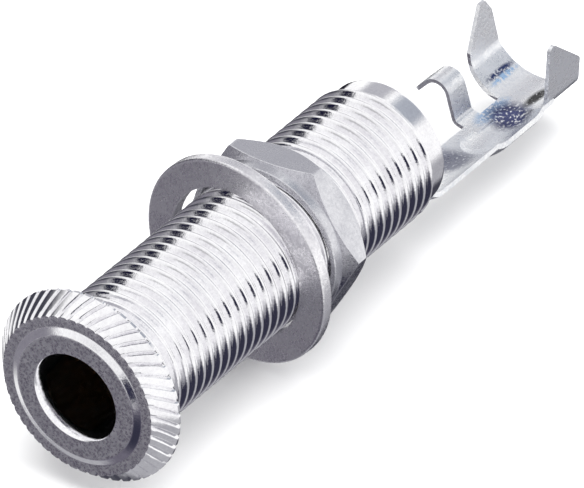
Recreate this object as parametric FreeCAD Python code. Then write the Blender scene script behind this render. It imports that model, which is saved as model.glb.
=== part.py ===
import FreeCAD, Part
import math
import os

from FreeCAD import Placement, Rotation, Vector

# Panel socket for a 6.35 mm plug, in millimetres.
# The barrel lies along +Y and its mouth faces -Y. The origin is on the barrel's axis, in the
# plane where the head seats on the panel. Angles round the axis run from +X towards +Z.

# Head
face_r = 6.4
rim_r = 7.66
rim_slope_l = 1.55
rim_land = 0.25
ring_base_r = 5.55
ring_top_r = 4.98
ring_h = 0.25
mouth_r = 3.5
mouth_chamfer_l = 0.85

# Knurl on the head's sloping rim
knurl_n = 48
knurl_depth = 0.26
knurl_twist = -10.0
knurl_flank = 0.62

# Barrel
bore_r = 3.2
bore_l = 14.2
thread_r = 5.5
thread_l = 34.0
thread_chamfer = 0.4
tail_r = 5.1
tail_l = 1.6
chamber_r = 4.45
chamber_cone_l = 1.0
seat_r = 4.7
rim_lip = 0.3
rim_lip_r = 4.42
rim_round = 0.15

# Panel hardware
washer_hole_gap = 0.4
washer_band = 2.28
washer_t = 1.0
washer_y = 18.25
washer_drop = Vector(-0.25, 0, 0.05)
washer_tilt = 4.9
washer_tilt_angle = -78.0
washer_edge = 0.12
nut_wall = 0.85
nut_t = 3.3
nut_y = 20.8
nut_corner_angle = 3.0
nut_collar_l = 0.85
nut_collar_step = 0.1
nut_front_angle = 28.0
nut_rear_angle = 43.0
nut_clearance = 0.05
nut_lead = 0.3

# Contact stack, clamped between the seat's shoulder and the rolled rim
stack_clearance = 0.05
front_insulator_t = 0.8
tag_t = 0.4
rear_insulator_t = 1.0
lug_t = 0.3

# Insulating liner
liner_t = 0.25
liner_clearance = 0.05

# Tip tag and tip spring
tag_foot_r = 3.55
tag_tongue_w = 2.1
tag_tongue_z = 2.9
tag_tongue_l = 2.1
tag_tail_w = 2.2
tag_tail_z = -0.9
tag_tail_l = 4.2
tag_eye_r = 0.6
slot_clearance = 0.1
bush_r = 2.8
bush_l = 0.4
spring_w = 1.8
spring_t = 0.25
spring_root_gap = 0.05
spring_root_l = 1.0
spring_root_y = 0.4
spring_slope_angle = 6.0
spring_arm_l = 4.6
spring_dip_angle = 24.0
spring_dip_l = 1.15
spring_bend_r = 0.5

# Sleeve lug
lug_angle = -70.0
lug_ring_r = 4.6
lug_ring_hole_r = 2.9
lug_r = 5.5
lug_bend_r = 0.35
lug_jog_angle = 48.0
lug_jog_r = 0.55
lug_tongue_w = 3.2
lug_gutter_w = 4.85
lug_flare_y = 36.4
lug_flare_l = 1.7
lug_spread_angle = 36.0
lug_blank_over = 2.0
hollow_y = 47.3
hollow_angle = -63.0
hollow_r = 3.4
hollow_depth = 0.5
hollow_l = 3.4

# Solder hook on the lug's edge
hook_y = 46.8
hook_w = 2.05
hook_edge_angle = -103.4
hook_lead_angle = 15.0
hook_root_r = 0.55
hook_angle = 106.0
hook_rise = 1.95
hook_curl_r = 1.05
hook_curl_angle = 122.0
hook_end_l = 1.7
hook_tip_r = 0.7

# Cable clamp
clamp_y = 51.2
clamp_l = 4.0
clamp_near_angle = -56.0
clamp_far_angle = -129.0
clamp_root_l = 0.35
near_bend_r = 0.9
near_lean_angle = 87.0
near_top = 1.45
near_rear_top = -2.0
near_corner_r = 0.4
far_bend_r = 1.1
far_lean_angle = 96.5
far_top = 0.3
far_front_y = 0.65
far_taper_z = -2.85
far_tip_y = 2.4
far_tip_l = 0.7
far_rear_z = -0.7
far_rear_l = 0.25

AXIS = Vector(0, 1, 0)
ORIGIN = Vector(0, 0, 0)

# Places along the barrel that follow from the sizes above
face_y = -(rim_land + rim_slope_l)
front_y = face_y - ring_h
bore_end_y = front_y + bore_l + mouth_chamfer_l
chamber_y = bore_end_y + chamber_cone_l
barrel_end_y = thread_l + thread_chamfer + tail_l
rim_y = barrel_end_y - rim_lip
lug_ring_y = rim_y - lug_t
rear_insulator_y = lug_ring_y - rear_insulator_t
tag_y = rear_insulator_y - tag_t
stack_y = tag_y - front_insulator_t
liner_r = chamber_r - liner_clearance
washer_hole_r = thread_r + washer_hole_gap
washer_r = washer_hole_r + washer_band
nut_flats = 2 * (thread_r + nut_wall)


def polar(radius, angle, y=0.0):
    """Point at a distance and an angle round the barrel's axis."""
    a = math.radians(angle)
    return Vector(radius * math.cos(a), y, radius * math.sin(a))


def turned(points):
    """Solid of revolution about the axis from (radius, y) points, in order."""
    corners = [Vector(r, y, 0) for r, y in points]
    face = Part.Face(Part.makePolygon(corners + corners[:1]))
    return face.revolve(ORIGIN, AXIS, 360)


def tube(outer_r, inner_r, y, length):
    """Plain ring or tube on the axis."""
    outer = Part.makeCylinder(outer_r, length, Vector(0, y, 0), AXIS)
    return outer.cut(Part.makeCylinder(inner_r, length, Vector(0, y, 0), AXIS))


def box(x0, x1, y0, y1, z0, z1):
    return Part.makeBox(x1 - x0, y1 - y0, z1 - z0, Vector(x0, y0, z0))


def strip(start, heading, moves, thickness, plane):
    """Cross-section of a bent strip of sheet, as a face.

    The strip's middle line starts at a point and a heading in degrees, and follows moves:
    a number is a straight run, and a pair (radius, angle) is a bend, positive to the left.
    plane turns a pair of coordinates into a point in space.
    """
    half = thickness / 2
    x, y = start
    left = []
    right = []
    first = None
    for move in moves:
        h = math.radians(heading)
        side = (-math.sin(h), math.cos(h))
        if first is None:
            first = ((x + side[0] * half, y + side[1] * half), (x - side[0] * half, y - side[1] * half))
        if isinstance(move, tuple):
            radius, angle = move
            turn = math.copysign(1.0, angle)
            cx, cy = x + side[0] * radius * turn, y + side[1] * radius * turn
            bend = []
            for share in (0.0, 0.5, 1.0):
                a = h + math.radians(angle) * share
                n = (-math.sin(a), math.cos(a))
                inner = radius - half * turn
                outer = radius + half * turn
                bend.append(((cx - n[0] * turn * inner, cy - n[1] * turn * inner),
                             (cx - n[0] * turn * outer, cy - n[1] * turn * outer)))
            left.append([pair[0] for pair in bend])
            right.append([pair[1] for pair in bend])
            heading += angle
            a = math.radians(heading)
            x = cx + math.sin(a) * radius * turn
            y = cy - math.cos(a) * radius * turn
        else:
            nx, ny = x + math.cos(h) * move, y + math.sin(h) * move
            for edge, sign in ((left, half), (right, -half)):
                edge.append([(x + side[0] * sign, y + side[1] * sign), (nx + side[0] * sign, ny + side[1] * sign)])
            x, y = nx, ny
    edges = []
    for run in left + right:
        points = [plane(*p) for p in run]
        if len(points) == 3:
            edges.append(Part.Arc(*points).toShape())
        else:
            edges.append(Part.LineSegment(*points).toShape())
    edges.append(Part.LineSegment(plane(*left[-1][-1]), plane(*right[-1][-1])).toShape())
    edges.append(Part.LineSegment(plane(*first[0]), plane(*first[1])).toShape())
    return Part.Face(Part.Wire(Part.sortEdges(edges)[0]))


def prism(points, direction):
    return Part.Face(Part.makePolygon(points + points[:1])).extrude(direction)


def across(x, z):
    """Plane square to the barrel's axis."""
    return Vector(x, 0, z)


def knurl_cutter(angle):
    """Slanting V groove across the head's sloping rim."""
    over = 0.5
    a = polar(face_r, angle, face_y)
    b = polar(rim_r, angle + knurl_twist, -rim_land)
    along = (b - a).normalize()
    mid = (a + b) * 0.5
    slope = math.atan2(rim_slope_l, rim_r - face_r)
    radial = Vector(mid.x, 0, mid.z).normalize()
    outward = radial * math.sin(slope) - AXIS * math.cos(slope)
    outward = (outward - along * outward.dot(along)).normalize()
    width = along.cross(outward).normalize()
    foot = a - along * over - outward * knurl_depth
    lift = knurl_depth + over
    half = knurl_flank * lift
    points = [foot, foot + outward * lift + width * half, foot + outward * lift - width * half]
    return prism(points, along * ((b - a).Length + 2 * over))


def make_barrel():
    """Turned brass: head, mouth ring, threaded barrel, chamber and rolled rear rim."""
    body = turned([
        (bore_r, front_y + mouth_chamfer_l), (mouth_r, front_y), (ring_top_r, front_y),
        (ring_base_r, face_y), (face_r, face_y), (rim_r, -rim_land), (rim_r, 0),
        (thread_r, 0), (thread_r, thread_l), (thread_r - thread_chamfer, thread_l + thread_chamfer),
        (tail_r, thread_l + thread_chamfer), (tail_r, barrel_end_y - rim_round),
        (tail_r - rim_round, barrel_end_y), (rim_lip_r, barrel_end_y), (rim_lip_r, rim_y), (seat_r, rim_y),
        (seat_r, stack_y), (chamber_r, stack_y), (chamber_r, chamber_y), (bore_r, bore_end_y),
    ])
    cutters = [knurl_cutter(360.0 * i / knurl_n) for i in range(knurl_n)]
    return body.cut(Part.makeCompound(cutters))


def make_washer():
    """Stamped washer, softly edged, askew on the barrel."""
    e = washer_edge
    washer = turned([
        (washer_hole_r, -washer_t / 2), (washer_r - e, -washer_t / 2), (washer_r, e - washer_t / 2),
        (washer_r, washer_t / 2 - e), (washer_r - e, washer_t / 2), (washer_hole_r, washer_t / 2),
    ])
    washer.Placement = Placement(Vector(0, washer_y, 0) + washer_drop, Rotation(polar(1, washer_tilt_angle), washer_tilt))
    return washer


def make_nut():
    """Hexagon nut with a round collar, both ends chamfered, and a running bore on the thread."""
    y0, y1 = nut_y, nut_y + nut_t
    hex_y = y0 + nut_collar_l
    collar_r = nut_flats / 2 - nut_collar_step
    corner_r = nut_flats / 2 / math.cos(math.pi / 6)
    corners = [polar(corner_r, nut_corner_angle + 60 * i, hex_y) for i in range(6)]
    hexagon = prism(corners, AXIS * (y1 - hex_y))
    front_drop = (corner_r - collar_r) * math.tan(math.radians(nut_front_angle))
    rear_drop = (corner_r - collar_r) * math.tan(math.radians(nut_rear_angle))
    round_form = turned([
        (0, y0), (collar_r, y0), (collar_r, hex_y), (corner_r, hex_y + front_drop),
        (corner_r, y1 - rear_drop), (collar_r, y1), (0, y1),
    ])
    hole_r = thread_r + nut_clearance
    hole = turned([
        (0, y0), (hole_r + nut_lead, y0), (hole_r, y0 + nut_lead), (hole_r, y1 - nut_lead),
        (hole_r + nut_lead, y1), (0, y1),
    ])
    collar = Part.makeCylinder(collar_r, nut_collar_l, Vector(0, y0, 0), AXIS)
    return hexagon.fuse(collar).common(round_form).cut(hole).removeSplitter()


def make_liner():
    """Insulating tube along the chamber's wall."""
    return tube(liner_r, liner_r - liner_t, chamber_y, stack_y - stack_clearance - chamber_y)


def make_front_insulator():
    """Moulded cup: a disc against the seat's shoulder, with a collar round the tag's foot."""
    outer_r = seat_r - stack_clearance
    disc = Part.makeCylinder(outer_r, front_insulator_t, Vector(0, stack_y, 0), AXIS)
    collar = tube(outer_r, tag_foot_r + stack_clearance, tag_y, tag_t)
    half = tag_tongue_w / 2 + slot_clearance
    slot = box(-half, half, stack_y, tag_y, tag_tongue_z - slot_clearance, tag_tongue_z + tag_t + slot_clearance)
    return disc.fuse(collar).cut(slot).removeSplitter()


def make_rear_insulator():
    """Moulded disc with a bush that keeps the tag's tail clear of the lug's ring."""
    disc = Part.makeCylinder(seat_r - stack_clearance, rear_insulator_t, Vector(0, rear_insulator_y, 0), AXIS)
    bush = Part.makeCylinder(bush_r, lug_t + bush_l, Vector(0, lug_ring_y, 0), AXIS)
    half = tag_tail_w / 2 + slot_clearance
    z0, z1 = tag_tail_z - slot_clearance, tag_tail_z + tag_t + slot_clearance
    slot = box(-half, half, rear_insulator_y, lug_ring_y + lug_t + bush_l, z0, z1)
    return disc.fuse(bush).cut(slot).removeSplitter()


def make_tag():
    """Stamped tip tag: a round foot, a tongue for the spring and a tail with a wire eye."""
    foot = Part.makeCylinder(tag_foot_r, tag_t, Vector(0, tag_y, 0), AXIS)
    half = tag_tongue_w / 2
    tongue = box(-half, half, tag_y - front_insulator_t - tag_tongue_l, tag_y, tag_tongue_z, tag_tongue_z + tag_t)
    half = tag_tail_w / 2
    tail_end = barrel_end_y + tag_tail_l
    tail = box(-half, half, tag_y, tail_end - half, tag_tail_z, tag_tail_z + tag_t)
    eye_at = Vector(0, tail_end - half, tag_tail_z)
    up = Vector(0, 0, 1)
    tail = tail.fuse(Part.makeCylinder(half, tag_t, eye_at, up))
    tail = tail.cut(Part.makeCylinder(tag_eye_r, tag_t, eye_at, up))
    return foot.fuse([tongue, tail]).removeSplitter()


def make_spring():
    """Leaf that runs forward from the tag's tongue and dips to the plug's tip."""
    root_y = stack_y - spring_root_y
    root_z = tag_tongue_z + tag_t + spring_root_gap + spring_t / 2
    dip = spring_dip_angle
    moves = [
        spring_root_l, (spring_bend_r, spring_slope_angle), spring_arm_l, (spring_bend_r, dip), spring_dip_l,
        (spring_bend_r, -2 * dip), spring_dip_l,
    ]
    half = spring_w / 2

    def side(along, rise):
        return Vector(-half, root_y - along, root_z - rise)

    return strip((0, 0), 0, moves, spring_t, side).extrude(Vector(spring_w, 0, 0))


def lug_outline():
    """Blank of the tongue and gutter, cut square to the sheet at the lug's middle."""
    radial = polar(1, lug_angle)
    tangent = polar(1, lug_angle + 90)
    tongue, gutter = lug_tongue_w / 2, lug_gutter_w / 2
    stations = [
        (-tongue, rear_insulator_y), (tongue, rear_insulator_y), (tongue, lug_flare_y),
        (gutter, lug_flare_y + lug_flare_l), (gutter, clamp_y + clamp_root_l),
        (-gutter, clamp_y + clamp_root_l), (-gutter, lug_flare_y + lug_flare_l), (-tongue, lug_flare_y),
    ]
    points = [tangent * t + AXIS * y for t, y in stations]
    return prism(points, radial * (lug_r + lug_blank_over))


def make_gutter():
    """Tongue from the ring, joggled out to the barrel's own radius, as one swept sheet."""
    tongue_r = rim_lip_r - stack_clearance - lug_t / 2
    gutter_r = lug_r - lug_t / 2
    jog = gutter_r - tongue_r
    turn = math.radians(lug_jog_angle)
    ramp = (jog - 2 * lug_jog_r * (1 - math.cos(turn))) / math.sin(turn)
    jog_l = 2 * lug_jog_r * math.sin(turn) + ramp * math.cos(turn)
    mid_y = lug_ring_y + lug_t / 2
    jog_y = barrel_end_y + stack_clearance
    moves = [
        tongue_r - lug_bend_r - lug_ring_hole_r, (lug_bend_r, 90), jog_y - mid_y - lug_bend_r,
        (lug_jog_r, -lug_jog_angle), ramp, (lug_jog_r, lug_jog_angle),
        clamp_y + clamp_root_l - jog_y - jog_l,
    ]

    def half_plane(r, y):
        return Vector(r, y, 0)

    sheet = strip((lug_ring_hole_r, mid_y), 0, moves, lug_t, half_plane).revolve(ORIGIN, AXIS, 2 * lug_spread_angle)
    sheet.rotate(ORIGIN, AXIS, -(lug_angle + lug_spread_angle))
    return sheet


def capsule(radius):
    """Round-ended bar along the gutter, which presses its hollow."""
    centre = polar(lug_r + hollow_depth - hollow_r, hollow_angle, hollow_y)
    start = centre - AXIS * (hollow_l / 2)
    bar = Part.makeCylinder(radius, hollow_l, start, AXIS)
    ends = [Part.makeSphere(radius, start), Part.makeSphere(radius, start + AXIS * hollow_l)]
    return bar.fuse(ends).removeSplitter()


def make_hook():
    """Narrow finger that stands up from the gutter's edge and curls outwards."""
    middle_r = lug_r - lug_t / 2
    start_angle = lug_angle - hook_lead_angle
    start = polar(middle_r, start_angle)
    moves = [
        (middle_r, hook_edge_angle - start_angle),
        (hook_root_r, hook_angle - 360 - (hook_edge_angle - 90)),
        hook_rise, (hook_curl_r, hook_curl_angle), hook_end_l,
    ]
    hook = strip((start.x, start.z), start_angle - 90, moves, lug_t, across).extrude(AXIS * hook_w)
    hook.translate(AXIS * hook_y)
    corners = [e for e in hook.Edges if abs(e.Length - lug_t) < 0.001 and e.CenterOfMass.x < -lug_r * 0.75]
    return hook.makeFillet(hook_tip_r, corners)


def make_clamp():
    """Cable clamp: the gutter spread to full width, with a wing folded up on each side."""
    middle_r = lug_r - lug_t / 2
    bottom = (clamp_near_angle + clamp_far_angle) / 2
    start = polar(middle_r, bottom)
    near_moves = [
        (middle_r, clamp_near_angle - bottom), (near_bend_r, near_lean_angle - (clamp_near_angle + 90)),
        near_top - start.z,
    ]
    far_moves = [
        (middle_r, clamp_far_angle - bottom), (far_bend_r, far_lean_angle - 180 - (clamp_far_angle + 90)),
        far_top - start.z,
    ]
    length = clamp_l + far_rear_l
    low, reach = -lug_r - lug_blank_over, lug_r * 2
    y0, y1 = clamp_y, clamp_y + clamp_l

    near = strip((start.x, start.z), bottom + 90, near_moves, lug_t, across).extrude(AXIS * length)
    near.translate(AXIS * clamp_y)
    near_blank = prism([
        Vector(-reach, y0, low), Vector(-reach, y1, low), Vector(-reach, y1, near_rear_top),
        Vector(-reach, y0, near_top),
    ], Vector(reach * 2, 0, 0))
    corners = [e for e in near_blank.Edges if abs(e.Length - reach * 2) < 0.001 and e.CenterOfMass.z > low]
    near = near.common(near_blank.makeFillet(near_corner_r, corners))

    far = strip((start.x, start.z), bottom - 90, far_moves, lug_t, across).extrude(AXIS * length)
    far.translate(AXIS * clamp_y)
    tip_y = clamp_y + far_tip_y
    far_blank = prism([
        Vector(-reach, y0, low), Vector(-reach, y1, low), Vector(-reach, y1, start.z + lug_t / 2),
        Vector(-reach, y1 + far_rear_l, -lug_r * 0.7), Vector(-reach, y1 - far_rear_l, far_rear_z),
        Vector(-reach, tip_y + far_tip_l, far_top), Vector(-reach, tip_y, far_top),
        Vector(-reach, y0 + far_front_y, far_taper_z), Vector(-reach, y0 + far_front_y, -lug_r * 0.7),
        Vector(-reach, y0, start.z + lug_t / 2),
    ], Vector(reach * 2, 0, 0))
    return near.fuse(far.common(far_blank))


def make_lug():
    """Earth lug, stamped and folded from one sheet."""
    ring = tube(lug_ring_r, lug_ring_hole_r, lug_ring_y, lug_t)
    gutter = make_gutter().common(lug_outline())
    reach = hollow_l + 2 * hollow_r
    skin = tube(lug_r + hollow_depth * 2, lug_r - lug_t / 2, hollow_y - reach / 2, reach)
    gutter = gutter.fuse(capsule(hollow_r).common(skin).common(lug_outline())).cut(capsule(hollow_r - lug_t))
    return ring.fuse([gutter, make_hook(), make_clamp()]).removeSplitter()


makers = {
    "barrel": make_barrel,
    "flat_washer": make_washer,
    "hex_nut": make_nut,
    "sleeve_lug": make_lug,
    "insulating_liner": make_liner,
    "front_insulator": make_front_insulator,
    "rear_insulator": make_rear_insulator,
    "tip_tag": make_tag,
    "tip_spring": make_spring,
}

os.makedirs("parts", exist_ok=True)
for node, make in makers.items():
    shape = make()
    solids = shape.Solids
    print(node, "solids", len(solids), "valid", shape.isValid(), "volume", round(shape.Volume, 2))
    piece = solids[0] if len(solids) == 1 else Part.makeCompound(solids)
    piece.exportStep(f"parts/{node}.step")
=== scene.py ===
import bmesh
import bpy
import math
from mathutils import Matrix, Vector


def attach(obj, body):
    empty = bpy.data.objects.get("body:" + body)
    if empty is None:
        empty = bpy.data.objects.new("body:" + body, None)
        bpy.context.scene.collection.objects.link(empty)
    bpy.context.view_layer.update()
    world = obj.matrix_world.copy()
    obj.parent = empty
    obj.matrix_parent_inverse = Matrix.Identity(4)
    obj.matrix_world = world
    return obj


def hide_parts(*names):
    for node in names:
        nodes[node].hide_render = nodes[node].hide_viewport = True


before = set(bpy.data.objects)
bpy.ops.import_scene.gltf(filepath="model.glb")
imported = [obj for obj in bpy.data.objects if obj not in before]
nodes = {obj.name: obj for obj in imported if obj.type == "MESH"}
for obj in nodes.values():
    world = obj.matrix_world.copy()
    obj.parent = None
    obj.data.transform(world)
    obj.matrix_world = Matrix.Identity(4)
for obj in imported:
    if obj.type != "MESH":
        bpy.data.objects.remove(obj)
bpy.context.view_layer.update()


# Barrel: one turned brass part, nickel plated, with satin front faces, a knurled head, a chamber
# for the contacts, and a screw thread cut as a real helix that runs out at the tail.
# Its rear rim is rolled over the stack of insulators.
mm = 0.001


def fade(tree, value, start, end, low=0.0, high=1.0, smooth=False):
    """Turns a value into a mask that goes from low at the start to high at the end."""
    mask = tree.nodes.new("ShaderNodeMapRange")
    if smooth:
        mask.interpolation_type = "SMOOTHSTEP"
    for name, amount in (("From Min", start), ("From Max", end), ("To Min", low), ("To Max", high)):
        mask.inputs[name].default_value = amount
    tree.links.new(value, mask.inputs["Value"])
    return mask.outputs["Result"]


def combine(tree, operation, a, b):
    """Sum or product of two values; each is a number or another node's output."""
    sum_or_product = tree.nodes.new("ShaderNodeMath")
    sum_or_product.operation = operation
    for value, socket in zip((a, b), sum_or_product.inputs):
        if isinstance(value, float):
            socket.default_value = value
        else:
            tree.links.new(value, socket)
    return sum_or_product.outputs[0]


def grain(tree, scale, detail, roughness=0.5):
    """Noise fixed to the piece; its scale is a number or another node's output."""
    place = tree.nodes.new("ShaderNodeTexCoord")
    noise = tree.nodes.new("ShaderNodeTexNoise")
    noise.inputs["Detail"].default_value = detail
    noise.inputs["Roughness"].default_value = roughness
    tree.links.new(place.outputs["Object"], noise.inputs["Vector"])
    if isinstance(scale, float):
        noise.inputs["Scale"].default_value = scale
    else:
        tree.links.new(scale, noise.inputs["Scale"])
    return noise.outputs["Fac"]


# The finish of every piece: cloudy stains, fine pits for the bump, and a colour and a roughness
# that vary with both.
finish_group = bpy.data.node_groups.new("metal_finish", "ShaderNodeTree")
for name, kind, direction in (
    ("Stain size", "NodeSocketFloat", "INPUT"), ("Pit size", "NodeSocketFloat", "INPUT"),
    ("Roughness low", "NodeSocketFloat", "INPUT"), ("Roughness high", "NodeSocketFloat", "INPUT"),
    ("Light colour", "NodeSocketColor", "INPUT"), ("Dark colour", "NodeSocketColor", "INPUT"),
    ("Colour", "NodeSocketColor", "OUTPUT"), ("Roughness", "NodeSocketFloat", "OUTPUT"),
    ("Height", "NodeSocketFloat", "OUTPUT"),
):
    finish_group.interface.new_socket(name, in_out=direction, socket_type=kind)
given = finish_group.nodes.new("NodeGroupInput").outputs
result = finish_group.nodes.new("NodeGroupOutput").inputs
# the noise's value where a stain or a pit starts to show, and where it is full
stain_edge = (0.35, 0.65)
pit_edge = (0.36, 0.64)
pit_share = 0.5
stain_share = 0.5
stains = grain(finish_group, given["Stain size"], detail=4.0, roughness=0.6)
stains = fade(finish_group, stains, *stain_edge)
pits = grain(finish_group, given["Pit size"], detail=3.0, roughness=0.7)
pits = fade(finish_group, pits, *pit_edge)
worn = combine(finish_group, "ADD", combine(finish_group, "MULTIPLY", pits, pit_share),
               combine(finish_group, "MULTIPLY", stains, stain_share))
rough = fade(finish_group, worn, 0.0, 1.0)
tone = finish_group.nodes.new("ShaderNodeMix")
tone.data_type = "RGBA"
for output, socket in (
    (given["Roughness low"], rough.node.inputs["To Min"]),
    (given["Roughness high"], rough.node.inputs["To Max"]),
    (worn, tone.inputs["Factor"]),
    (given["Light colour"], tone.inputs[6]),
    (given["Dark colour"], tone.inputs[7]),
    (tone.outputs[2], result["Colour"]),
    (rough, result["Roughness"]),
    (pits, result["Height"]),
):
    finish_group.links.new(output, socket)


def finished(name, light, dark, rough_low, rough_high, stain_size,
             pit_size=4000, pit_height=0.0, metallic=1.0):
    """Material with the finish group's stains and pits, metal unless it says otherwise."""
    material = bpy.data.materials.new(name)
    material.use_nodes = True
    tree = material.node_tree
    shader = tree.nodes["Principled BSDF"]
    shader.inputs["Metallic"].default_value = metallic
    group = tree.nodes.new("ShaderNodeGroup")
    group.name = "finish"
    group.node_tree = finish_group
    for socket, amount in (
        ("Light colour", (*light, 1)), ("Dark colour", (*dark, 1)), ("Roughness low", rough_low),
        ("Roughness high", rough_high), ("Stain size", stain_size), ("Pit size", pit_size),
    ):
        group.inputs[socket].default_value = amount
    tree.links.new(group.outputs["Colour"], shader.inputs["Base Color"])
    tree.links.new(group.outputs["Roughness"], shader.inputs["Roughness"])
    if pit_height:
        bump = tree.nodes.new("ShaderNodeBump")
        bump.inputs["Strength"].default_value = 1.0
        bump.inputs["Distance"].default_value = pit_height
        tree.links.new(group.outputs["Height"], bump.inputs["Height"])
        tree.links.new(bump.outputs["Normal"], shader.inputs["Normal"])
    return material


barrel_plating = finished("bright_plating", (0.97, 0.97, 0.98), (0.8, 0.79, 0.82), 0.04, 0.12,
                          420, 4500, 0.000002)
tree = barrel_plating.node_tree
finish = tree.nodes["finish"].outputs
# the two flat rings that face the plug are satin: there the normal points straight forward
forward = (-0.94, -0.98)
satin = (0.17, 0.45)
facing = tree.nodes.new("ShaderNodeSeparateXYZ")
tree.links.new(tree.nodes.new("ShaderNodeTexCoord").outputs["Normal"], facing.inputs[0])
face_rough = tree.nodes.new("ShaderNodeMix")
tree.links.new(fade(tree, facing.outputs["Y"], *forward), face_rough.inputs["Factor"])
tree.links.new(finish["Roughness"], face_rough.inputs[2])
tree.links.new(fade(tree, finish["Height"], 0.0, 1.0, *satin), face_rough.inputs[3])
tree.links.new(face_rough.outputs[0], tree.nodes["Principled BSDF"].inputs["Roughness"])

bore_r = 3.2
bore_end_y = 13.0
mouth_r = 3.5
mouth_end_y = -1.2
front_y = -2.05
face_y = -1.8
face_r = 6.4
ring_top_r = 4.98
ring_base_r = 5.55
rim_r = 7.66
rim_land = 0.25
rim_soft = 0.04
back_w = 0.4
chamber_r = 4.45
chamber_y = 14.0
seat_r = 4.7
stack_y = 33.2
rim_y = 35.7
lip_r = 4.42
lip_soft = 0.04
tail_r = 5.1
barrel_end_y = 36.0
# softened corners: how far out and how far back from the corner each point of the section lies
chamfer_end = ((0.0, 0.25), (0.0, 0.05), (0.02, -0.06))
mouth_edge = ((-0.04, 0.09), (0.03, 0.0), (0.1, 0.0))
ring_top_edge = ((-0.17, 0.0), (-0.07, 0.0), (0.03, 0.015), (0.1, 0.05))
ring_foot = ((-0.08, -0.035), (0.0, 0.0), (0.06, 0.0))
face_edge = ((-0.12, 0.0),)
tail_edge = ((0.0, -0.3), (0.0, -0.17), (-0.03, -0.07), (-0.12, 0.0))

knurl_n = 48
knurl_depth = 0.26
knurl_start = 0.45
knurl_growth = 3
knurl_twist = math.radians(-10.0)
knurl_rows = 8
land_depth = 0.16
back_depth = 0.14
# across one tooth: distance from the middle of its groove, and share of the depth
knurl_form = ((0.0, 1.0), (0.13, 0.2), (0.2, 0.0), (0.3, -0.02),
              (-0.3, -0.02), (-0.2, 0.0), (-0.13, 0.2))

thread_r = 5.5
thread_depth = 0.55
thread_l = 34.0
thread_end_y = 34.4
thread_sides = 144
pitch = 1.0
runout_l = 1.0
tail_step = 0.02
# along one pitch: place from the middle of the crest, and height over the root
thread_form = ((0.0, 1.0), (0.06, 0.98), (0.12, 0.89), (0.19, 0.69), (0.28, 0.37),
               (0.36, 0.13), (0.43, 0.02), (0.5, 0.0), (0.57, 0.02), (0.64, 0.13),
               (0.72, 0.37), (0.81, 0.69), (0.88, 0.89), (0.94, 0.98), (1.0, 1.0))


def point_at(radius, angle, y):
    """Point in metres; radius and place along the axis in millimetres, angle from +X to +Z."""
    return (radius * math.cos(angle) * mm, y * mm, radius * math.sin(angle) * mm)


def ring(radius, y):
    return [point_at(radius, math.tau * i / thread_sides, y) for i in range(thread_sides)]


def softened(radius, y, offsets):
    """Radius and place of the points that soften one corner of a turned section."""
    return [(radius + out, y + back) for out, back in offsets]


def add_points(verts, points):
    verts += points
    return list(range(len(verts) - len(points), len(verts)))


def stitch(faces, a, b):
    """Joins two rings of point numbers; one may have more points than the other."""
    if len(a) < len(b):
        a, b = b, a
    n, m = len(a), len(b)
    for i in range(n):
        low, high = i * m // n, (i + 1) * m // n
        corner = [a[i], a[(i + 1) % n], b[high % m]]
        faces.append(corner + [b[low]] if high != low else corner)


def build(name, verts, faces, material, body, cad_node, sharp=32.0):
    """Makes a piece from points and faces, in the place of one CAD node."""
    mesh = bpy.data.meshes.new(name)
    mesh.from_pydata(verts, [], faces)
    work = bmesh.new()
    work.from_mesh(mesh)
    bmesh.ops.remove_doubles(work, verts=work.verts, dist=0.002 * mm)
    bmesh.ops.recalc_face_normals(work, faces=work.faces)
    work.to_mesh(mesh)
    work.free()
    mesh.shade_smooth()
    mesh.set_sharp_from_angle(angle=math.radians(sharp))
    mesh.materials.append(material)
    piece = bpy.data.objects.new(name, mesh)
    bpy.context.scene.collection.objects.link(piece)
    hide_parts(cad_node)
    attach(piece, body)


def knurl_ring(radius, y, twist, depth, slope):
    """Ring of the knurled cone at one place along its slope."""
    step = math.tau / knurl_n
    row = []
    for tooth in range(knurl_n):
        for offset, share in knurl_form:
            a = tooth * step + offset / radius + twist + (step if offset < 0 else 0)
            cut = depth * share
            row.append(point_at(radius - cut * math.sin(slope), a, y + cut * math.cos(slope)))
    return row


def thread_radius(y, angle):
    """Radius of the thread's surface, with its chamfered end and its run-out at the tail."""
    phase = (y / pitch + angle / math.tau) % 1.0
    height = 1.0
    for (p0, h0), (p1, h1) in zip(thread_form, thread_form[1:]):
        if p0 <= phase <= p1:
            height = h0 + (h1 - h0) * (phase - p0) / (p1 - p0)
    root_r = thread_r - thread_depth
    runout = min(1.0, max(0.0, (runout_l + y - thread_end_y) / runout_l))
    lowest = root_r + (tail_r - root_r) * runout
    return min(thread_r - max(0.0, y - thread_l), max(lowest, root_r + height * thread_depth))


# from the rolled rim through the chamber and the bore to the mouth, and over the faces
verts, faces = [], []
rings = [add_points(verts, ring(r, y)) for r, y in [
    (lip_r, barrel_end_y - lip_soft), (lip_r, rim_y), (seat_r, rim_y), (seat_r, stack_y),
    (chamber_r, stack_y), (chamber_r, chamber_y), (bore_r, bore_end_y),
    *softened(bore_r, mouth_end_y, chamfer_end),
    *softened(mouth_r, front_y, mouth_edge),
    *softened(ring_top_r, front_y, ring_top_edge),
    *softened(ring_base_r, face_y, ring_foot),
    *softened(face_r, face_y, face_edge),
]]
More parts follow.
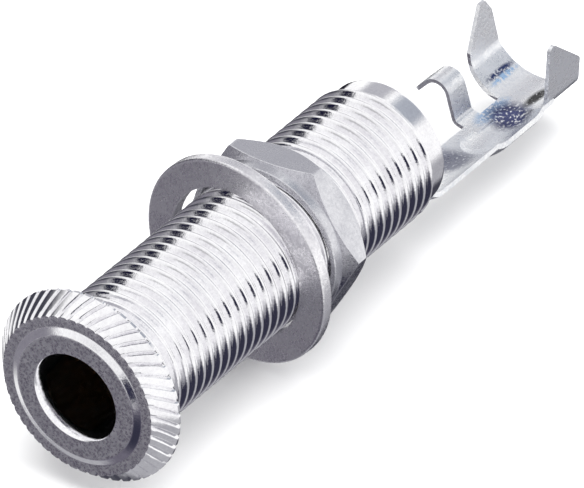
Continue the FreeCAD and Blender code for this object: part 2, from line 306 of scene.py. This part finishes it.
# down the knurled cone and the rim's land to the head's back
slope = math.atan2(-rim_land - face_y, rim_r - face_r)
for step in range(knurl_rows + 1):
    t = step / knurl_rows
    depth = knurl_depth * min(1.0, knurl_start + knurl_growth * t)
    rings.append(add_points(verts, knurl_ring(
        face_r + (rim_r - face_r) * t, face_y + (-rim_land - face_y) * t,
        knurl_twist * t, depth, slope)))
straight_in = math.pi / 2
for r, y, depth in ((rim_r, -rim_soft, land_depth), (rim_r - rim_soft, 0.0, back_depth)):
    rings.append(add_points(verts, knurl_ring(r, y, knurl_twist, depth, straight_in)))
rings.append(add_points(verts, ring(rim_r - back_w, 0.0)))
# the thread: each row falls back one pitch on its way round, and meets the row one pitch before it
form_rows = len(thread_form) - 1
helix_rows = int(thread_end_y + 2 * pitch) * form_rows + 1
helix = []
for j in range(helix_rows):
    row = []
    for i in range(thread_sides):
        a = math.tau * i / thread_sides
        y = (j // form_rows + thread_form[j % form_rows][0] - a / math.tau) * pitch
        y = min(thread_end_y, max(0.0, y))
        row.append(point_at(thread_radius(y, a), a, y))
    helix.append(add_points(verts, row))
for j, (row, above) in enumerate(zip(helix, helix[1:])):
    last, last_above = helix[max(0, j - form_rows)][0], helix[max(0, j + 1 - form_rows)][0]
    for i in range(thread_sides):
        b, c = (row[i + 1], above[i + 1]) if i < thread_sides - 1 else (last, last_above)
        faces.append((row[i], b, c, above[i]))
rings.append(helix[0])
for a, b in zip(rings, rings[1:]):
    stitch(faces, a, b)
# the plain tail, back to the rolled rim
tail = [helix[-1]] + [add_points(verts, ring(r, y)) for r, y in [
    (tail_r, thread_end_y + tail_step), *softened(tail_r, barrel_end_y, tail_edge),
    (lip_r + lip_soft, barrel_end_y),
]] + [rings[0]]
for a, b in zip(tail, tail[1:]):
    stitch(faces, a, b)
build("threaded_barrel", verts, faces, barrel_plating, "housing", "barrel")


# Insulating liner: a rolled tube of clear brown film that lines the chamber's wall.
# It keeps the tip spring clear of the metal, and the stack of insulators holds it in.
def dress(names, material):
    """Gives a material to carried-over pieces."""
    for name in names:
        nodes[name].data.materials.clear()
        nodes[name].data.materials.append(material)


film = finished("film", (0.32, 0.17, 0.07), (0.22, 0.11, 0.04), 0.25, 0.45, 350, metallic=0.0)
film.node_tree.nodes["Principled BSDF"].inputs["Specular IOR Level"].default_value = 0.4
dress(["insulating_liner"], film)


# Insulators: two discs of dark moulded phenolic, one each side of the tip tag.
# The rear one has a bush that passes through the lug's ring.
moulded = finished("moulded_phenolic", (0.09, 0.045, 0.025), (0.05, 0.025, 0.016), 0.35, 0.6, 900,
                   pit_height=0.00002, metallic=0.0)
dress(["front_insulator", "rear_insulator"], moulded)


# Tip tag and tip spring: the tag is stamped from tinned brass sheet and clamped in the stack.
# The spring is a leaf of plated spring alloy, fixed under the tag's tongue.
tinned = finished("tinned_sheet", (0.97, 0.97, 0.97), (0.7, 0.72, 0.77), 0.14, 0.5,
                  420, 4000, 0.00001)
spring_metal = finished("spring_sheet", (0.78, 0.76, 0.72), (0.66, 0.64, 0.6), 0.15, 0.3,
                        300, 4500, 0.000003)
dress(["tip_tag"], tinned)
dress(["tip_spring"], spring_metal)


# Sleeve lug: one pressed strip of tinned sheet, with painted reflections and painted highlights in
# its hollow and its folds, and painted shade next to the barrel's end. Its ring sits under the
# rolled rim, and its gutter carries a pressed hollow, a solder hook and the two folded wings of the
# cable clamp.
def vector_math(tree, operation, vector, amount=(0, 0, 0)):
    """Works on a vector with a fixed one; a length or a dot product comes out as one value."""
    work = tree.nodes.new("ShaderNodeVectorMath")
    work.operation = operation
    work.inputs[1].default_value = amount
    tree.links.new(vector, work.inputs[0])
    return work.outputs["Value" if operation in ("LENGTH", "DOT_PRODUCT") else "Vector"]


def tint(tree, mask, under, shade):
    """Lays a shade over the colour under it, where the mask says."""
    mix = tree.nodes.new("ShaderNodeMix")
    mix.data_type = "RGBA"
    tree.links.new(mask, mix.inputs["Factor"])
    tree.links.new(under, mix.inputs[6])
    mix.inputs[7].default_value = (*shade, 1)
    return mix.outputs[2]


lug_sheet = finished("lug_sheet", (0.98, 0.98, 0.98), (0.74, 0.76, 0.81), 0.14, 0.5,
                     420, 4000, 0.00001)
tree = lug_sheet.node_tree
place = tree.nodes.new("ShaderNodeTexCoord").outputs
speckle = grain(tree, 4200.0, detail=3.0)
speckle_soft = 0.14
patch_edge = (1.25, 0.65)
inner_side = (0.1, 0.4)
sheet_colour = tree.nodes["finish"].outputs["Colour"]
# each patch of painted shade, painted reflection and painted highlight: radius, angle and place
# along the axis, its half width and half length, how much of it the speckles leave bright, and its
# colour
for r, angle, y, half_w, half_l, bright, shade in (
    # painted light-blue reflection along the upper edge of the pressed hollow
    (5.4, -92.0, 49.6, 0.75, 2.0, 0.66, (0.42, 0.58, 0.8)),
    # painted dark reflection of the barrel's end in the pressed hollow
    (5.5, -77.5, 49.9, 1.7, 1.6, 0.66, (0.08, 0.09, 0.19)),
    # painted black reflection in the inside corner of the near wing's fold
    (5.25, -71.5, 52.6, 0.6, 1.45, 0.72, (0.002, 0.002, 0.004)),
    # painted dark reflection along the inside of the far wing's fold
    (5.25, -115.0, 53.5, 0.3, 1.6, 0.64, (0.05, 0.07, 0.18)),
    # painted light-blue highlight beside it in the far wing's fold
    (5.25, -110.0, 53.5, 0.28, 1.6, 0.6, (0.42, 0.6, 0.84)),
    # painted shade on the gutter next to the barrel's end
    (5.3, -79.0, 42.6, 2.0, 1.5, 0.7, (0.3, 0.31, 0.38)),
):
    angle = math.radians(angle)
    apart = vector_math(tree, "SUBTRACT", place["Object"], point_at(r, angle, y))
    in_patches = (1 / (half_w * mm), 1 / (half_l * mm), 1 / (half_w * mm))
    distance = vector_math(tree, "LENGTH", vector_math(tree, "MULTIPLY", apart, in_patches))
    near = fade(tree, distance, *patch_edge)
    inward = (-math.cos(angle), 0, -math.sin(angle))
    inside = fade(tree, vector_math(tree, "DOT_PRODUCT", place["Normal"], inward), *inner_side)
    dark = fade(tree, speckle, bright, bright - speckle_soft)
    # mask of this patch's painted shade, reflection and highlight, broken up by the speckles
    painted_mark = combine(tree, "MULTIPLY", combine(tree, "MULTIPLY", near, inside), dark)
    sheet_colour = tint(tree, painted_mark, sheet_colour, shade)
tree.links.new(sheet_colour, tree.nodes["Principled BSDF"].inputs["Base Color"])
dress(["sleeve_lug"], lug_sheet)


# Flat washer: stamped from steel sheet and nickel plated, with softly rolled edges.
# It hangs loose and askew on the thread, in front of the nut.
washer_plating = finished("washer_plating", (0.94, 0.93, 0.95), (0.64, 0.63, 0.67), 0.1, 0.5,
                          500, 4500, 0.000008)
washer_hole_r = 5.9
washer_r = 8.17
washer_t = 1.0
washer_y = 18.25
washer_drop = Vector((-0.25, 0, 0.05))
washer_tilt = math.radians(4.9)
washer_tilt_angle = math.radians(-78.0)
hole_soft = 0.06
face_inset = 0.2
edge_r = 0.2
edge_steps = 6
half_t = washer_t / 2
face_end_r = washer_r - edge_r - hole_soft
washer_profile = [
    (washer_hole_r + hole_soft, -half_t), (washer_hole_r, hole_soft - half_t),
    (washer_hole_r, half_t - hole_soft), (washer_hole_r + hole_soft, half_t),
    (washer_hole_r + face_inset, half_t), (face_end_r, half_t),
]
for centre_y, start in ((half_t - edge_r, 90), (edge_r - half_t, 0)):
    for k in range(edge_steps + 1):
        a = math.radians(start - 90 / edge_steps * k)
        washer_profile.append((washer_r - edge_r + edge_r * math.cos(a),
                               centre_y + edge_r * math.sin(a)))
washer_profile += [(face_end_r, -half_t), (washer_hole_r + face_inset, -half_t)]
tilt_axis = Vector((math.cos(washer_tilt_angle), 0, math.sin(washer_tilt_angle)))
lean = Matrix.Rotation(washer_tilt, 3, tilt_axis)
shift = (Vector((0, washer_y, 0)) + washer_drop) * mm
verts, faces, rings = [], [], []
for r, y in washer_profile:
    rings.append(add_points(verts, [tuple(lean @ Vector(p) + shift) for p in ring(r, y)]))
for a, b in zip(rings, rings[1:] + rings[:1]):
    stitch(faces, a, b)
build("flat_washer_plated", verts, faces, washer_plating, "washer",
      "flat_washer")


# Hexagon nut: turned from brass bar with a round collar at the front, chamfered at both ends,
# and nickel plated with a satin finish. It runs on the barrel's thread.
nut_plating = finished("nut_plating", (0.76, 0.76, 0.79), (0.55, 0.55, 0.59), 0.1, 0.42,
                       500, 4500, 0.000006)
nut_flats = 12.7
nut_y = 20.8
nut_t = 3.3
nut_corner_angle = math.radians(3.0)
nut_collar_l = 0.85
nut_collar_step = 0.1
nut_front_angle = math.radians(28.0)
nut_rear_angle = math.radians(43.0)
nut_hole_r = 5.55
nut_lead = 0.3
nut_sides = 288
collar_soft = 0.06
front_soft = 0.02
rear_soft = 0.03
corner_wear = 0.04
collar_r = nut_flats / 2 - nut_collar_step
nut_end_y = nut_y + nut_t
corner_r = nut_flats / 2 / math.cos(math.pi / 6) - corner_wear
sections = []
for i in range(nut_sides):
    a = math.tau * i / nut_sides + nut_corner_angle
    from_flat = (math.tau * i / nut_sides) % (math.pi / 3) - math.pi / 6
    reach = min(nut_flats / 2 / math.cos(from_flat), corner_r)
    front = nut_y + nut_collar_l + (reach - collar_r) * math.tan(nut_front_angle)
    rear = nut_end_y - (reach - collar_r) * math.tan(nut_rear_angle)
    sections.append([point_at(r, a, y) for r, y in (
        (nut_hole_r, nut_y + nut_lead), (nut_hole_r + nut_lead, nut_y),
        (collar_r - collar_soft, nut_y), (collar_r, nut_y + collar_soft),
        (collar_r, nut_y + nut_collar_l), (reach - front_soft, front - front_soft),
        (reach, front + rear_soft), (reach, rear - rear_soft),
        (reach - rear_soft, rear + rear_soft), (collar_r, nut_end_y),
        (nut_hole_r + nut_lead, nut_end_y), (nut_hole_r, nut_end_y - nut_lead),
    )])
verts, faces = [], []
rings = [add_points(verts, list(row)) for row in zip(*sections)]
for a, b in zip(rings, rings[1:] + rings[:1]):
    stitch(faces, a, b)
build("hex_nut_plated", verts, faces, nut_plating, "nut", "hex_nut",
      sharp=20.0)


# Floor and light: a plain pale floor under a white studio, with soft dark screens to the left,
# below and in front, which the plating mirrors.
floor_z = -0.0084
floor_half = 3
floor_mesh = bpy.data.meshes.new("floor")
floor_mesh.from_pydata(
    [(x * floor_half, y * floor_half, floor_z) for x, y in ((-1, -1), (1, -1), (1, 1), (-1, 1))],
    [], [(0, 1, 2, 3)])
floor = bpy.data.objects.new("floor", floor_mesh)
bpy.context.scene.collection.objects.link(floor)
floor_paint = bpy.data.materials.new("floor_paint")
floor_paint.use_nodes = True
shader = floor_paint.node_tree.nodes["Principled BSDF"]
shader.inputs["Base Color"].default_value = (0.9, 0.9, 0.9, 1)
shader.inputs["Roughness"].default_value = 0.9
shader.inputs["Specular IOR Level"].default_value = 0.0
floor_mesh.materials.append(floor_paint)
floor.visible_glossy = False

studio = bpy.data.worlds.new("studio")
bpy.context.scene.world = studio
studio.use_nodes = True
tree = studio.node_tree
background = tree.nodes["Background"]
outwards = tree.nodes.new("ShaderNodeTexCoord").outputs["Generated"]
wall_white = 1.1
walls = tree.nodes.new("ShaderNodeRGB")
walls.outputs[0].default_value = (wall_white, wall_white, wall_white, 1)
studio_colour = walls.outputs[0]


def disc(where, size, border):
    """Mask of the directions within an angle of one direction, in degrees, with a soft border."""
    towards = vector_math(tree, "DOT_PRODUCT", outwards, Vector(where).normalized())
    return fade(tree, towards, math.cos(math.radians(size + border)),
                math.cos(math.radians(size)), smooth=True)


# each screen: where it stands as seen from the object, half its angle, its soft border, its shade
for where, size, border, shade in (
    ((0.10, -0.98, 0.15), 22, 30, (0.95, 0.95, 0.96)),
    ((0.20, 0.20, -0.96), 48, 14, (0.44, 0.44, 0.47)),
    ((-0.05, -0.66, -0.75), 22, 14, (0.15, 0.14, 0.18)),
    ((0.25, -0.62, -0.745), 10, 14, (0.035, 0.035, 0.06)),
    ((-0.15, 0.66, -0.735), 15, 13, (0.06, 0.06, 0.08)),
    ((-0.95, -0.10, 0.00), 16, 30, (0.06, 0.06, 0.08)),
    ((-0.60, -0.60, -0.53), 16, 12, (0.1, 0.093, 0.12)),
    ((-0.84, -0.44, -0.31), 17, 13, (0.25, 0.24, 0.28)),
    ((-0.50, 0.67, 0.55), 9, 14, (0.51, 0.51, 0.55)),
    ((-0.19, -0.93, 0.31), 6, 8, (0.56, 0.56, 0.57)),
    ((-0.66, 0.665, -0.35), 7, 5, (0.01, 0.01, 0.02)),
    ((0.27, 0.66, 0.70), 10, 16, (0.44, 0.47, 0.53)),
):
    studio_colour = tint(tree, disc(where, size, border), studio_colour, shade)
# each dark gap between two white screens: the direction square to its band, half its height and
# its border, the middle of its length, half that length and its border, its shade
for square, height, height_border, middle, length, length_border, shade in (
    ((-0.319, -0.282, 0.905), 6.5, 2.5, (0.45, -0.87, -0.11), 22, 5, (0.03, 0.03, 0.06)),
    ((-0.671, 0.488, -0.558), 6.5, 1.5, (-0.72, -0.63, 0.30), 10, 4, (0.01, 0.01, 0.03)),
):
    across = vector_math(tree, "DOT_PRODUCT", outwards, Vector(square).normalized())
    off = tree.nodes.new("ShaderNodeMath")
    off.operation = "ABSOLUTE"
    tree.links.new(across, off.inputs[0])
    band = fade(tree, off.outputs[0], math.sin(math.radians(height + height_border)),
                math.sin(math.radians(height)), smooth=True)
    gap = combine(tree, "MULTIPLY", band, disc(middle, length, length_border))
    studio_colour = tint(tree, gap, studio_colour, shade)
tree.links.new(studio_colour, background.inputs["Color"])
background.inputs["Strength"].default_value = 1.0

for name, where, size, power in (
    ("softbox_top", (0.1, -0.1, 0.7), 0.7, 5.0),
    ("softbox_right", (0.7, 0.2, 0.35), 0.5, 2.5),
):
    lamp = bpy.data.lights.new(name, "AREA")
    lamp.size = size
    lamp.energy = power
    box = bpy.data.objects.new(name, lamp)
    box.location = where
    box.rotation_mode = "QUATERNION"
    box.rotation_quaternion = (-Vector(where)).to_track_quat("-Z", "Y")
    box.visible_glossy = False
    bpy.context.scene.collection.objects.link(box)
bpy.context.scene.view_settings.view_transform = "Standard"


# Camera: above and to the right of the head, looking along the barrel to the cable clamp.
# It is aimed at the middle of the part.
camera_azimuth = math.radians(35.2)
camera_elevation = math.radians(35.5)
camera_distance = 1.312
camera_aim = Vector((0.001034, 0.02285, -0.000837))
camera = bpy.data.objects.new("camera", bpy.data.cameras.new("camera"))
bpy.context.scene.collection.objects.link(camera)
back = Vector((math.sin(camera_azimuth) * math.cos(camera_elevation),
               -math.cos(camera_azimuth) * math.cos(camera_elevation), math.sin(camera_elevation)))
camera.location = camera_aim + back * camera_distance
camera.rotation_mode = "QUATERNION"
camera.rotation_quaternion = (-back).to_track_quat("-Z", "Y")
camera.data.lens = 1139.6
camera.data.sensor_width = 36
camera.data.clip_end = 10
bpy.context.scene.camera = camera
